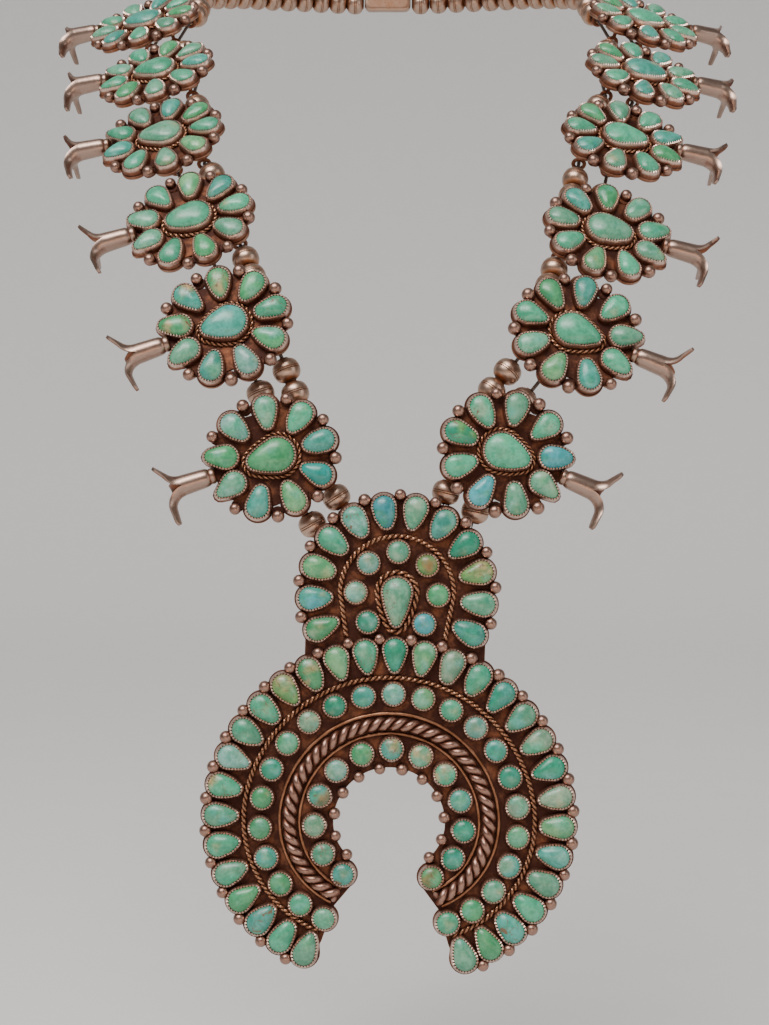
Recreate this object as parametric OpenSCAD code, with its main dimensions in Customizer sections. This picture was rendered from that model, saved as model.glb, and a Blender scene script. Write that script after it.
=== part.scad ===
// Squash blossom necklace: turquoise cluster settings and a crescent pendant in
// silver, strung on two rows of silver beads, in the form that it has when worn.
// Millimetres, +Z up, the front faces -Y. The origin is the nape, in the clasp.

/* [Silver] */
// Thickness of the backing plates
plate_t = 1.0; // [0.8:0.1:1.2]
// Width that a plate shows outside a bezel
plate_margin = 0.3; // [0.1:0.1:0.4]
// Wall of a bezel
bezel_wall = 0.43; // [0.35:0.01:0.45]
// Height of a bezel above its plate
bezel_h = 2.0; // [1.6:0.1:2.2]
// Diameter of the twisted wires
twist_d = 1.15; // [0.9:0.05:1.2]
// Diameter of the plain wires beside the rope
wire_d = 1.0; // [0.8:0.1:1.0]
// Diameter of the heavy rope of the crescent
rope_d = 3.1; // [2.8:0.1:3.1]
// Diameter of the balls on the rims
ball_d = 2.7; // [2.5:0.1:2.7]

/* [Stones] */
// Gap between a stone and its bezel
stone_gap = 0.12; // [0.1:0.01:0.15]
// Width of a small pear-shaped stone
pear_w = 5.8; // [5.4:0.1:5.8]
// Length of a small pear-shaped stone
pear_l = 8.4; // [8:0.1:8.4]
// Height of a pear-shaped stone above its plate
pear_h = 3.2; // [2.6:0.1:3.4]
// Diameter of a round stone
round_d = 5.3; // [4.8:0.1:5.3]
// Height of a round stone above its plate
round_h = 3.0; // [2.6:0.1:3.2]

/* [Crescent] */
// Radius of the outer row of stones at the top
outer_row_r = 41.1; // [40.8:0.1:41.4]
// Number of stones in the outer row
outer_count = 31; // [29:1:31]
// Radius of the middle row of stones
middle_row_r = 31.6; // [31.4:0.1:31.8]
// Number of stones in the middle row
middle_count = 23; // [21:1:23]
// Radius of the inner row of stones
inner_row_r = 18.3; // [18.2:0.1:18.4]
// Number of stones in the inner row
inner_count = 13; // [11:1:13]

/* [Crown] */
// Height of the crown's centre above the centre of the crescent
crown_z = 56.3; // [56:0.1:56.6]
// Radius of the crown's row of pear-shaped stones
crown_pear_r = 20.1; // [19.9:0.1:20.3]
// Radius of the crown's row of round stones
crown_round_r = 10.1; // [10:0.1:10.2]
// Width and length of the crown's centre stone
crown_stone = [7.2, 12.0]; // [7:0.1:12.4]

/* [Cluster] */
// Half size of the ring of petal stones, outward and along the strand
petal_ring = [12.4, 11.1]; // [11:0.1:12.5]
// Width and length of a cluster's centre stone
centre_stone = [8.8, 12.0]; // [8.6:0.1:12.2]
// Height of a centre stone above its plate
centre_h = 4.2; // [3.6:0.1:4.6]

/* [Blossom] */
// Where the blossom's tube begins, out from the middle of its cluster
blossom_base = 14.3; // [14.2:0.1:14.6]
// Where the tube opens into petals
blossom_mouth = 23.8; // [23:0.1:24.4]
// Outer radius of the tube where it opens
blossom_r = 2.95; // [2.7:0.05:3.1]
// Reach of the open petals from the axis of the tube
blossom_reach = 8.8; // [8:0.1:9.2]
// Thickness of the blossom's sheet
blossom_wall = 0.75; // [0.6:0.05:0.9]

/* [Beads] */
// Diameter of a bead
bead_d = 7.1; // [6.6:0.1:7.1]
// Length of a bead along its thread
bead_l = 6.1; // [5.6:0.1:6.2]
// Diameter of the thread
thread_d = 1.0; // [0.8:0.1:1.0]

/* [Clasp] */
// Width, thickness and height of the clasp
clasp = [16, 3.6, 13]; // [3.4:0.1:17]

/* [Hidden] */
SIDES = ["left", "right"];
PLACES = ["1", "2", "3", "4", "5", "6"];

silver = "#a48a80";
turquoise = "#6fb39c";

// The middle of the front is where the sizes below start from. The nape lies behind it.
nape = [0, 182, 181.75];

// The middle of the crescent, and how the pendant leans back and to one side
pendant_z = -76;
pendant_lean = 3;
pendant_turn = 2;

// The settings from the pendant up, one row for each:
// [out from the middle, back, up, lean back, turn outward, droop]
X = 0;
Y = 1;
Z = 2;
LEAN = 3;
TURN = 4;
DROOP = 5;
left_clusters = [
    [29.0,   4.0,  13.5,  5,  0, 18],
    [41.0,   9.5,  46.5, 16,  3, 20],
    [51.5,  26.0,  75.5, 31, 11, 19],
    [61.5,  47.5, 101.5, 40, 16, 12],
    [66.5,  73.0, 125.5, 46, 21, 11],
    [73.5, 100.0, 147.3, 50, 26, 10]];
right_clusters = [
    [29.0,   4.5,  14.5,  3,  4, 23],
    [47.0,  10.0,  44.5, 17,  5, 23],
    [57.0,  27.5,  72.5, 31, 11, 18],
    [64.0,  48.0, 101.0, 40, 14, 17],
    [73.0,  72.5, 125.0, 46, 22, 14],
    [77.0,  99.5, 147.5, 50, 27, 12]];

// The rows of beads hang in loops behind the plates
loop_u = [-10.8, -2.7];
loop_v = 8;
loop_n = -5.0;
loop_r = 1.5;
crown_loop_r = 1.9;
loop_wire_r = 0.55;
// Where the rows of beads meet the crown: out from its middle, and up
crown_loops = [[9, 69.5], [16.5, 64]];
crown_loop_turn = [32, 35];

// The hidden way of the two rows round the back of the neck, from just past the last
// cluster to the clasp, as they lie on the right
inner_route = [[62.5, 124.5, 164.5], [59, 137, 171.5], [53, 149, 177], [44.5, 160, 181.3],
    [34, 169, 184], [22, 176.5, 185.3], [13.5, 180.4, 185.5], [8.4, 181.6, 185.5]];
outer_route = [[70.3, 127.5, 161.5], [66.6, 141.5, 167], [60, 154.5, 171.5], [50, 166, 175],
    [38, 175, 177], [25, 180.5, 178], [13.5, 182.4, 178], [8.4, 182.6, 178]];

plate_back = -plate_t;
stone_lift = 0.12;
tip_r = 0.9;
bezel_out = stone_gap + bezel_wall;
ball_r = ball_d / 2;
twist_r = twist_d / 2;
// Height of the middle of a ball above its plate
ball_n = 0.5;
// The round end of a pear keeps just off its flanks
flank = 0.995;

function polar(r, a) = [r * sin(a), r * cos(a)];
function on_ellipse(size, a) = [size.x * cos(a), size.y * sin(a)];
function turn_x(p, a) = [p.x, p.y * cos(a) - p.z * sin(a), p.y * sin(a) + p.z * cos(a)];
function turn_y(p, a) = [p.x * cos(a) + p.z * sin(a), p.y, p.z * cos(a) - p.x * sin(a)];
function turn_z(p, a) = [p.x * cos(a) - p.y * sin(a), p.x * sin(a) + p.y * cos(a), p.z];

// A setting's own axes are u outward, v up along the strand and n out of its plate.
function cluster_point(side, k, p) =
    let (row = side == "left" ? left_clusters[k] : right_clusters[k],
         q = turn_z(turn_x(turn_y([p.x, -p.z, p.y], row[DROOP]), -row[LEAN]), row[TURN]),
         w = [row[X], row[Y], row[Z]] + q)
    side == "left" ? [-w.x, w.y, w.z] : w;
function pendant_point(p) =
    [0, 0, pendant_z] + turn_x(turn_y([p.x, -p.z, p.y], pendant_turn), -pendant_lean);

module at_nape() translate(-nape) children();
module as_cluster(side, k) {
    row = side == "left" ? left_clusters[k] : right_clusters[k];
    at_nape() mirror([side == "left" ? 1 : 0, 0, 0]) translate([row[X], row[Y], row[Z]])
        rotate([0, 0, row[TURN]]) rotate([-row[LEAN], 0, 0]) rotate([0, row[DROOP], 0])
        rotate([90, 0, 0]) children();
}
module as_pendant() at_nape() translate([0, 0, pendant_z]) rotate([-pendant_lean, 0, 0])
    rotate([0, pendant_turn, 0]) rotate([90, 0, 0]) children();

// Outline of a pear of size [width, length], its point towards -X, its middle at the origin
module pear(size, grow = 0) {
    big = size.x / 2;
    span = size.y - big - tip_r;
    c = (big - tip_r) / span;
    s = flank * sqrt(1 - c * c);
    b = big + grow;
    t = tip_r + grow;
    translate([size.y / 2 - big, 0]) {
        circle(r = b, $fn = 48);
        translate([-span, 0]) circle(r = t, $fn = 32);
        polygon([[-b * c, b * s], [-span - t * c, t * s], [-span - t * c, -t * s], [-b * c, -b * s]]);
    }
}

// Pear-shaped cabochon: its outline cut from a barrel that lies along it
module pear_stone(size, h) {
    crown_r = size.x * 0.62;
    long_r = size.y * 1.08;
    color(turquoise) translate([0, 0, stone_lift]) intersection() {
        linear_extrude(height = h - stone_lift) pear(size);
        translate([0.4, 0, h - stone_lift - crown_r]) rotate([0, -90, 0]) rotate_extrude($fn = 64)
            intersection() {
                translate([crown_r - long_r, 0]) circle(r = long_r, $fn = 96);
                translate([0, -size.y]) square([crown_r + 1, 2 * size.y]);
            }
    }
}

// Round cabochon
module round_stone() {
    dome_r = round_d * 0.82;
    h = round_h - stone_lift;
    color(turquoise) translate([0, 0, stone_lift]) rotate_extrude($fn = 48) intersection() {
        square([round_d / 2, h]);
        translate([0, h - dome_r]) circle(r = dome_r, $fn = 96);
    }
}

// Walls of bezels round the outlines that are given, sunk a little in the plate
module bezels(h = bezel_h) translate([0, 0, -0.3]) linear_extrude(height = h + 0.3) children();
module pear_bezel(size) difference() {
    pear(size, bezel_out);
    pear(size, stone_gap);
}
module round_bezel() difference() {
    circle(r = round_d / 2 + bezel_out, $fn = 48);
    circle(r = round_d / 2 + stone_gap, $fn = 48);
}

// Twisted wire laid round a pear-shaped bezel
module pear_wire(size) translate([0, 0, -0.3]) linear_extrude(height = 0.3 + twist_d * 0.9) difference() {
    pear(size, bezel_out + twist_d + 0.05);
    pear(size, bezel_out - 0.1);
}

// Loop behind a plate, its eye along v
module back_loop(r = loop_r) {
    translate([0, 0, loop_n + r]) cylinder(h = -loop_n - r - plate_t / 2, r = 0.6, $fn = 24);
    translate([0, 0, loop_n]) rotate([90, 0, 0]) rotate_extrude($fn = 32)
        translate([r, 0]) circle(r = loop_wire_r, $fn = 24);
}

// The crescent's rows follow an arch that narrows to its feet: one arc over the top
// and a smaller arc down each side. The share of the radius that the side arcs lose:
narrow = 0.181;
// The outer row loses less, so that its stones clear the twisted wire
narrow_outer = 0.172;
arch_turn = 80;
function arch_r(a, k = narrow) = abs(a) <= arch_turn ? 1 :
    let (d = abs(a) - arch_turn)
    k * cos(d) + sqrt(pow(1 - k, 2) - pow(k * sin(d), 2));
function arch(r, a, k = narrow) = polar(r * arch_r(a, k), a);
// Which way a stone of the arch points: square to the arch
function arch_out(a, k = narrow) =
    abs(a) <= arch_turn ? a :
    let (p = arch(1, abs(a), k) - polar(k, arch_turn))
    sign(a) * atan2(p.x, p.y);
module on_arch(r, a, k = narrow) {
    p = arch(r, a, k);
    translate([p.x, p.y]) rotate(90 - arch_out(a, k)) children();
}
module on_outer_row(a) on_arch(outer_row_r, a, narrow_outer) children();

// Round wire along the arch, down to angle a_end on both sides. Where its arcs meet, a
// drop of solder covers the joint.
module arch_wire(r, wire_r, a_end, n) {
    side = polar(narrow * r, arch_turn);
    joint = polar(r, arch_turn);
    end = arch_out(a_end);
    short = 0.25 * wire_r / r * 180 / PI;
    translate([0, 0, n]) {
        rotate([0, 0, 90 - arch_turn + short]) rotate_extrude(angle = 2 * (arch_turn - short), $fn = 96)
            translate([r, 0]) circle(r = wire_r, $fn = 24);
        for (m = [0, 1]) mirror([m, 0, 0]) {
            translate([side.x, side.y, 0]) rotate([0, 0, 90 - end])
                rotate_extrude(angle = end - arch_turn - short, $fn = 96)
                    translate([(1 - narrow) * r, 0]) circle(r = wire_r, $fn = 24);
            translate([joint.x, joint.y, 0]) sphere(r = 1.12 * wire_r, $fn = 24);
        }
    }
}

outer_end = 148;
middle_end = 147;
inner_end = 139;
rope_end = 145;
opening_r = 13.8;
rope_r = 24.4;
wires_r = [22.0, 26.8];
twist_row_r = 35.6;
inner_ball_r = 13.6;

function row_angles(count, end) = [for (i = [0:count - 1]) -end + 2 * end * i / (count - 1)];
function between(list) = [for (i = [0:len(list) - 2]) (list[i] + list[i + 1]) / 2];
outer_row = row_angles(outer_count, outer_end);
middle_row = row_angles(middle_count, middle_end);
inner_row = row_angles(inner_count, inner_end);

crown_step = 21.2;
crown_pears = [for (i = [0:11]) (i - 5.5) * crown_step];
crown_rounds = [for (i = [-3:3]) i * 45.5];
crown_ball_r = 24.2;
crown_twist_r = 14.0;
crown_stone_z = -2.2;

module on_crown(r, a) translate([r * sin(a), crown_z + r * cos(a)]) rotate(90 - a) children();

// A rim ball lies in the notch of two outer bezels, sunk a little in both
ball_reach = pear_w / 2 + bezel_out + ball_r - 0.2;
function bezel_middle(a) = arch(outer_row_r, a, narrow_outer)
    + (pear_l - pear_w) / 2 * polar(1, arch_out(a, narrow_outer));
function notch(p, q) = (p + q) / 2 + sqrt(ball_reach * ball_reach - (q - p) * (q - p) / 4)
    * [p.y - q.y, q.x - p.x] / norm(q - p);
rim_balls = [for (i = [1:outer_count - 1]) notch(bezel_middle(outer_row[i - 1]), bezel_middle(outer_row[i]))];
// The plate's edge keeps to this share of the way to the balls, and to this radius at the feet
plate_share = 0.987;
plate_r = 44.4;

// Slot between the feet, a straight cut from row to row
foot_edge = [arch(15, 153), arch(20.5, 150), arch(26, 148), arch(29, 156), arch(36, 156), arch(38, 154),
    arch(56, 154)];
module slot() for (m = [0, 1]) mirror([m, 0]) polygon(concat([[0, 0]], foot_edge, [[0, foot_edge[6].y]]));

module pendant_plate() translate([0, 0, plate_back]) linear_extrude(height = plate_t) difference() {
    union() {
        polygon(concat([arch(plate_r, -156, narrow_outer)], plate_share * rim_balls,
            [arch(plate_r, 156, narrow_outer)]));
        for (a = outer_row) on_outer_row(a) pear([pear_w, pear_l], bezel_out + plate_margin);
        translate([0, crown_z]) circle(r = crown_ball_r - 0.95, $fn = 96);
        for (a = crown_pears) on_crown(crown_pear_r, a) pear([pear_w, pear_l], bezel_out + plate_margin);
        translate([-22, 38]) square([44, 14]);
    }
    difference() {
        union() {
            polygon([for (a = [-156:4:156]) arch(opening_r, a)]);
            slot();
        }
        for (s = [-1, 1]) {
            on_arch(inner_row_r, s * inner_end) circle(r = round_d / 2 + bezel_out + plate_margin, $fn = 48);
            on_arch(middle_row_r, s * middle_end)
                circle(r = round_d / 2 + bezel_out + plate_margin, $fn = 48);
            on_outer_row(s * outer_end) pear([pear_w, pear_l], bezel_out + plate_margin);
        }
    }
}

// Balls: round the rims and between the inner stones
module ball(p) translate([p.x, p.y, ball_n]) sphere(r = ball_r, $fn = 32);
module pendant_balls() {
    for (p = rim_balls) ball(p);
    for (a = between(inner_row)) ball(arch(inner_ball_r, a));
    for (i = [-5:5]) ball([0, crown_z] + polar(crown_ball_r, i * crown_step));
}

module pendant_setting() color(silver) as_pendant() {
    pendant_plate();
    bezels() {
        for (a = outer_row) on_outer_row(a) pear_bezel([pear_w, pear_l]);
        for (a = middle_row) on_arch(middle_row_r, a) round_bezel();
        for (a = inner_row) on_arch(inner_row_r, a) round_bezel();
        for (a = crown_pears) on_crown(crown_pear_r, a) pear_bezel([pear_w, pear_l]);
        for (a = crown_rounds) on_crown(crown_round_r, a) round_bezel();
    }
    translate([0, crown_z + crown_stone_z, 0]) rotate([0, 0, 90]) {
        bezels(bezel_h + 0.3) pear_bezel(crown_stone);
        pear_wire(crown_stone);
    }
    arch_wire(twist_row_r, twist_r, 148, 0.4);
    arch_wire(rope_r, rope_d / 2, rope_end, 1.0);
    for (r = wires_r) arch_wire(r, wire_d / 2, rope_end, 0.3);
    translate([0, crown_z, 0.4]) rotate([0, 0, -45]) rotate_extrude(angle = 270, $fn = 96)
        translate([crown_twist_r, 0]) circle(r = twist_r, $fn = 24);
    pendant_balls();
    for (s = [-1, 1]) for (i = [0, 1])
        translate([s * crown_loops[i].x, crown_loops[i].y, 0]) rotate([0, 0, s * (crown_loop_turn[i] - 90)])
            back_loop(crown_loop_r);
}

module crown_centre_stone() as_pendant() translate([0, crown_z + crown_stone_z, 0]) rotate([0, 0, 90])
    pear_stone(crown_stone, centre_h);
module crown_pear_stones() as_pendant() for (a = crown_pears) on_crown(crown_pear_r, a)
    pear_stone([pear_w, pear_l], pear_h);
module crown_round_stones() as_pendant() for (a = crown_rounds) on_crown(crown_round_r, a) round_stone();
module crescent_outer_stones() as_pendant() for (a = outer_row) on_outer_row(a)
    pear_stone([pear_w, pear_l], pear_h);
module crescent_middle_stones() as_pendant() for (a = middle_row) on_arch(middle_row_r, a) round_stone();
module crescent_inner_stones() as_pendant() for (a = inner_row) on_arch(inner_row_r, a) round_stone();

// A cluster: petal stones round a centre stone. The two beside the blossom point outward.
petal_count = 9;
petal_step = 360 / petal_count;
function petal_angle(i) = petal_step / 2 + petal_step * i;
module on_petal(i) {
    a = petal_angle(i);
    translate(on_ellipse(petal_ring, a))
        rotate(a + (i == 0 || i == petal_count - 1 ? 180 : 0)) children();
}
cluster_ball_ring = [16.0, 14.6];

module cluster_plate() translate([0, 0, plate_back]) linear_extrude(height = plate_t) {
    circle(r = 11.5, $fn = 96);
    translate([3, 0]) circle(r = 11.5, $fn = 96);
    translate([-2.5, 0]) circle(r = 11.5, $fn = 96);
    for (i = [0:petal_count - 1]) on_petal(i) pear([pear_w, pear_l], bezel_out + plate_margin);
    for (i = [1:petal_count - 1])
        translate(on_ellipse(cluster_ball_ring - [1, 1], petal_step * i)) circle(r = 1.5, $fn = 24);
}

// Squash blossom: a tube that opens into three petals
petal_half_w = 1.7;
function flare(off) = [for (a = [0:15:75])
    [blossom_r + (3 + off) - (3 + off) * cos(a) - off, blossom_mouth + (3 + off) * sin(a)]];
flare_end = [blossom_reach + 0.5, blossom_mouth + 4.1];
module blossom() translate([0, 0, 1.2]) rotate([0, 90, 0]) {
    rotate_extrude($fn = 48) polygon([[0, blossom_base], [1.5, blossom_base], [1.8, blossom_base + 0.9],
        [blossom_r - 0.3, blossom_base + 1.6], [blossom_r, blossom_mouth],
        [blossom_r - blossom_wall, blossom_mouth], [blossom_r - 0.3 - blossom_wall, blossom_base + 3],
        [0, blossom_base + 3]]);
    intersection() {
        rotate_extrude($fn = 48) polygon(concat(flare(0), [flare_end, flare_end + [-0.15, blossom_wall]],
            [for (i = [5:-1:0]) flare(blossom_wall)[i]]));
        translate([0, 0, blossom_mouth - 0.5]) linear_extrude(height = 8) {
            circle(r = blossom_r + 0.4, $fn = 48);
            for (a = [90, 270, 0]) rotate(a) {
                translate([0, -petal_half_w]) square([blossom_reach - petal_half_w, 2 * petal_half_w]);
                translate([blossom_reach - petal_half_w, 0]) circle(r = petal_half_w - 0.01, $fn = 32);
            }
        }
    }
}

module cluster_setting(side, k) color(silver) as_cluster(side, k) {
    cluster_plate();
    bezels() for (i = [0:petal_count - 1]) on_petal(i) pear_bezel([pear_w, pear_l]);
    rotate([0, 0, 180]) {
        bezels(bezel_h + 0.5) pear_bezel(centre_stone);
        pear_wire(centre_stone);
    }
    for (i = [1:petal_count - 1])
        ball(on_ellipse(cluster_ball_ring, petal_step * i));
    for (u = loop_u) for (s = [-1, 1]) translate([u, s * loop_v, 0]) back_loop();
    blossom();
}
module cluster_stone(side, k) as_cluster(side, k) rotate([0, 0, 180]) pear_stone(centre_stone, centre_h);
module cluster_petals(side, k) as_cluster(side, k) for (i = [0:petal_count - 1]) on_petal(i)
    pear_stone([pear_w, pear_l], pear_h);

// Eyes that a thread passes on one side, from the crown to the last cluster
function eyes(side, i) = concat(
    [pendant_point([(side == "left" ? -1 : 1) * crown_loops[i].x, crown_loops[i].y, loop_n])],
    [for (k = [0:5]) for (v = [-loop_v, loop_v]) cluster_point(side, k, [loop_u[i], v, loop_n])]);
thread_tail = 2.5;
function thread_way(side, i) =
    concat(eyes(side, i), [cluster_point(side, 5, [loop_u[i], loop_v + thread_tail, loop_n])]);
function route(side, i) =
    [for (p = i == 0 ? inner_route : outer_route) side == "left" ? [-p.x, p.y, p.z] : p];

// Beads: two domed halves, drilled for the thread
module bead() color(silver) {
    cap_r = (pow(bead_d / 2, 2) + pow(bead_l / 2, 2)) / bead_l;
    difference() {
        rotate_extrude($fn = 48) intersection() {
            translate([0, -bead_l]) square([bead_d, 2 * bead_l]);
            translate([0, cap_r - bead_l / 2]) circle(r = cap_r, $fn = 64);
            translate([0, bead_l / 2 - cap_r]) circle(r = cap_r, $fn = 64);
        }
        translate([0, 0, -bead_l]) cylinder(h = 2 * bead_l, r = thread_d / 2 + 0.25, $fn = 24);
    }
}
module along(a, b, t) {
    d = b - a;
    p = a + t * d;
    translate(p) rotate([0, acos(d.z / norm(d)), atan2(d.y, d.x)]) children();
}
// Each gap has two beads on the inner thread, and one on the outer thread beside their middle
bead_pitch = bead_l + 0.2;
module beads(side, i) at_nape() {
    inner = eyes(side, 0);
    outer = eyes(side, 1);
    for (k = [0:2:10]) {
        a = i == 0 ? inner[k] : outer[k];
        d = (i == 0 ? inner[k + 1] : outer[k + 1]) - a;
        middle = (inner[k] + inner[k + 1]) / 2;
        t = (middle - a) * d / (d * d);
        for (j = i == 0 ? [-0.5, 0.5] : [0]) along(a, a + d, t + j * bead_pitch / norm(d)) bead();
    }
}

// Tube swept along points: a ring square to the way at each of them
function unit(v) = v / norm(v);
function way_dir(p, i) = unit(p[min(i + 1, len(p) - 1)] - p[max(i - 1, 0)]);
function ring(c, d, r, n) =
    let (a = unit(cross(d, abs(d.z) < 0.9 ? [0, 0, 1] : [1, 0, 0])), b = cross(d, a))
    [for (j = [0:n - 1]) c + r * (a * cos(360 * j / n) + b * sin(360 * j / n))];
module tube(p, r, n) {
    last = len(p) - 1;
    polyhedron(
        points = [for (i = [0:last]) each ring(p[i], way_dir(p, i), r, n)],
        faces = concat([[for (j = [n - 1:-1:0]) j]],
            [for (i = [0:last - 1]) for (j = [0:n - 1])
                [i * n + j, i * n + (j + 1) % n, (i + 1) * n + (j + 1) % n, (i + 1) * n + j]],
            [[for (j = [0:n - 1]) last * n + j]]));
}

// Catmull-Rom way through points, with steps to each stretch
function blend(a, b, c, d, t) = (2 * b + (c - a) * t + (2 * a - 5 * b + 4 * c - d) * t * t
    + (3 * b - a - 3 * c + d) * t * t * t) / 2;
function smooth(p, steps) = [for (i = [0:len(p) - 2]) for (s = [0:steps - 1])
    blend(p[max(i - 1, 0)], p[i], p[i + 1], p[min(i + 2, len(p) - 1)], s / steps)];

module thread(i) color(silver) at_nape() {
    left = thread_way("left", i);
    tube(concat([for (j = [len(left) - 1:-1:0]) left[j]], thread_way("right", i)), thread_d / 2, 8);
}
module back_strand(side, i) color(silver) at_nape() {
    way = concat([for (p = [[0.4, 0], [8, 0.9]])
        cluster_point(side, 5, [loop_u[i], loop_v + thread_tail + p.x, loop_n - p.y])], route(side, i));
    tube(concat(smooth(way, 2), [way[len(way) - 1]]), bead_d / 2, 10);
}

// Clasp: one plain rounded bar at the nape that both rows run into
module clasp_bar() color(silver) rotate([90, 0, 0]) linear_extrude(height = clasp.y, center = true) {
    square([clasp.x, clasp.z - 4], center = true);
    square([clasp.x - 4, clasp.z], center = true);
    for (x = [-1, 1]) for (z = [-1, 1])
        translate([x * (clasp.x / 2 - 2), z * (clasp.z / 2 - 2)]) circle(r = 2, $fn = 32);
}

pendant_setting();
crown_centre_stone();
crown_pear_stones();
crown_round_stones();
crescent_outer_stones();
crescent_middle_stones();
crescent_inner_stones();
for (s = SIDES) for (k = [0:5]) {
    cluster_setting(s, k);
    cluster_stone(s, k);
    cluster_petals(s, k);
}
for (s = SIDES) for (i = [0, 1]) {
    beads(s, i);
    back_strand(s, i);
}
thread(0);  // inner_thread
thread(1);  // outer_thread
clasp_bar();  // clasp
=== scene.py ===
# Squash blossom necklace of turquoise set in silver, in the form that it has when worn.
# Sizes are in millimetres, and a piece's mesh turns them into metres.
import math
from random import Random

import bpy
import numpy as np
from mathutils import Matrix, Vector
from mathutils.geometry import delaunay_2d_cdt


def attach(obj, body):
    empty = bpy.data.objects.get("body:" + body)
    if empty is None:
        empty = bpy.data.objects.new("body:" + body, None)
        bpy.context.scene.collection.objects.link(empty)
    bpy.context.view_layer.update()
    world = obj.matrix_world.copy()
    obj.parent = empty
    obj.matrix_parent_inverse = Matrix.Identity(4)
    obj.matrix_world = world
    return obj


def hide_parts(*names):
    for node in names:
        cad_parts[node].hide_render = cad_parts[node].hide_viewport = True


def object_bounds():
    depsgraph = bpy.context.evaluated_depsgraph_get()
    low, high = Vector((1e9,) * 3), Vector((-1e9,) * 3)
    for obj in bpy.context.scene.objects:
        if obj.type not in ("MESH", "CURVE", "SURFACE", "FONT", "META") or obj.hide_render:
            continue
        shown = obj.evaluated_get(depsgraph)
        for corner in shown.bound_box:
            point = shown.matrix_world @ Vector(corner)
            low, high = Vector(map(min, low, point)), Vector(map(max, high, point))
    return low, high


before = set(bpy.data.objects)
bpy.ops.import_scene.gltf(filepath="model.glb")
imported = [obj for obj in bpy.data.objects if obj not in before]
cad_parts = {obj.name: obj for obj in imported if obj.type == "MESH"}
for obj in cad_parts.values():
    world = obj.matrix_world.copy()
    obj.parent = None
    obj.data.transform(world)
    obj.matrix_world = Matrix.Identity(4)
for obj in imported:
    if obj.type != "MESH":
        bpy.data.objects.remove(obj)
cad_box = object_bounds()


# Pendant plate. The crescent and the crown above it are sawn from one sheet of silver,
# 1 mm thick, with an edge that follows the stones. It lies dark under the settings.
# Places are measured from the middle of the front view. The clasp lies at the nape, and its middle
# is the origin.
nape = np.array([0.0, 182.0, 181.75])
plate_t = 1.0


def turn(axis, degrees):
    return np.array(Matrix.Rotation(math.radians(degrees), 3, axis))


class Place:
    """Where a setting lies: u outward, v up along the strand and n out of its plate."""

    def __init__(self, axes, origin):
        self.axes = np.asarray(axes, float)
        self.origin = np.asarray(origin, float)

    def at(self, points):
        return np.asarray(points, float) @ self.axes.T + self.origin

    def on(self, u, v, degrees=0.0):
        """A place on this plate, turned about n."""
        return Place(self.axes @ turn("Z", degrees), self.at([u, v, 0]))


class Work:
    """Gathers the closed skins that make one piece, with a mark from 0, sunk, to 1, worn bright."""

    def __init__(self):
        self.points = []
        self.faces = []
        self.marks = []
        self.tints = []
        self.count = 0

    def add(self, points, quads, triangles, marks, place, tint=None):
        """One skin. Its faces are turned to look outward."""
        points = place.at(points)
        quads = np.asarray(quads, int).reshape(-1, 4)
        triangles = np.asarray(triangles, int).reshape(-1, 3)
        corners = np.concatenate([quads[:, [0, 1, 2]], quads[:, [0, 2, 3]], triangles])
        a, b, c = (points[corners[:, i]] - points.mean(0) for i in range(3))
        if (a * np.cross(b, c)).sum() < 0:
            quads = quads[:, ::-1]
            triangles = triangles[:, ::-1]
        self.faces += (quads + self.count).tolist() + (triangles + self.count).tolist()
        self.points.append(points)
        self.marks.append(np.broadcast_to(marks, len(points)))
        if tint is not None:
            self.tints.append(tint)
        self.count += len(points)

    def skin(self, rows, marks, place, closed=False, tint=None):
        """A skin of rows of points, each a ring. The first and last are capped unless they meet."""
        rows = np.asarray(rows, float)
        count, size = rows.shape[:2]
        marks = np.asarray(marks, float)
        marks = np.broadcast_to(marks[:, None] if marks.ndim == 1 else marks, (count, size)).ravel()
        index = np.arange(count * size).reshape(count, size)
        above = np.roll(index, -1, 0) if closed else index[1:]
        below = index if closed else index[:-1]
        quads = np.stack([below, np.roll(below, -1, 1), np.roll(above, -1, 1), above], 2)
        points = rows.reshape(-1, 3)
        triangles = []
        if not closed:
            middle = np.full(size, len(points))
            triangles = np.concatenate([
                np.stack([np.roll(index[0], -1), index[0], middle], 1),
                np.stack([index[-1], np.roll(index[-1], -1), middle + 1], 1)])
            points = np.concatenate([points, rows[[0, -1]].mean(1)])
            marks = np.concatenate([marks, marks[[0, -1]]])
            if tint is not None:
                tint = np.concatenate([tint, tint[:1], tint[-1:]])
        self.add(points, quads, triangles, marks, place, tint)

    def piece(self, name, material, nodes, sharp=38):
        """Makes the object, which rides on the one body and stands for the CAD nodes."""
        mesh = bpy.data.meshes.new(name)
        mesh.from_pydata((np.concatenate(self.points) / 1000).tolist(), [], self.faces)
        mesh.attributes.new("mark", "FLOAT", "POINT").data.foreach_set("value", np.concatenate(self.marks))
        if self.tints:
            tint = mesh.attributes.new("tint", "FLOAT_COLOR", "POINT")
            tint.data.foreach_set("color", np.concatenate(self.tints).ravel())
        mesh.shade_smooth()
        mesh.set_sharp_from_angle(angle=math.radians(sharp))
        mesh.materials.append(material)
        made = bpy.data.objects.new(name, mesh)
        bpy.context.scene.collection.objects.link(made)
        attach(made, "root")
        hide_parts(*nodes)


class Outline:
    """A closed line in a plate's plane, with the direction that leads out of it at each point."""

    def __init__(self, points, out):
        self.points = np.asarray(points, float)
        self.out = np.asarray(out, float)

    def grown(self, by):
        """The line moved out by one distance, or by one for each point."""
        return self.points + self.out * np.reshape(by, (-1, 1))

    def every(self, step):
        return Outline(self.points[::step], self.out[::step])


def round_outline(diameter, count):
    angle = np.arange(count) * 2 * np.pi / count
    out = np.stack([np.cos(angle), np.sin(angle)], 1)
    return Outline(out * diameter / 2, out)


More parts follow.
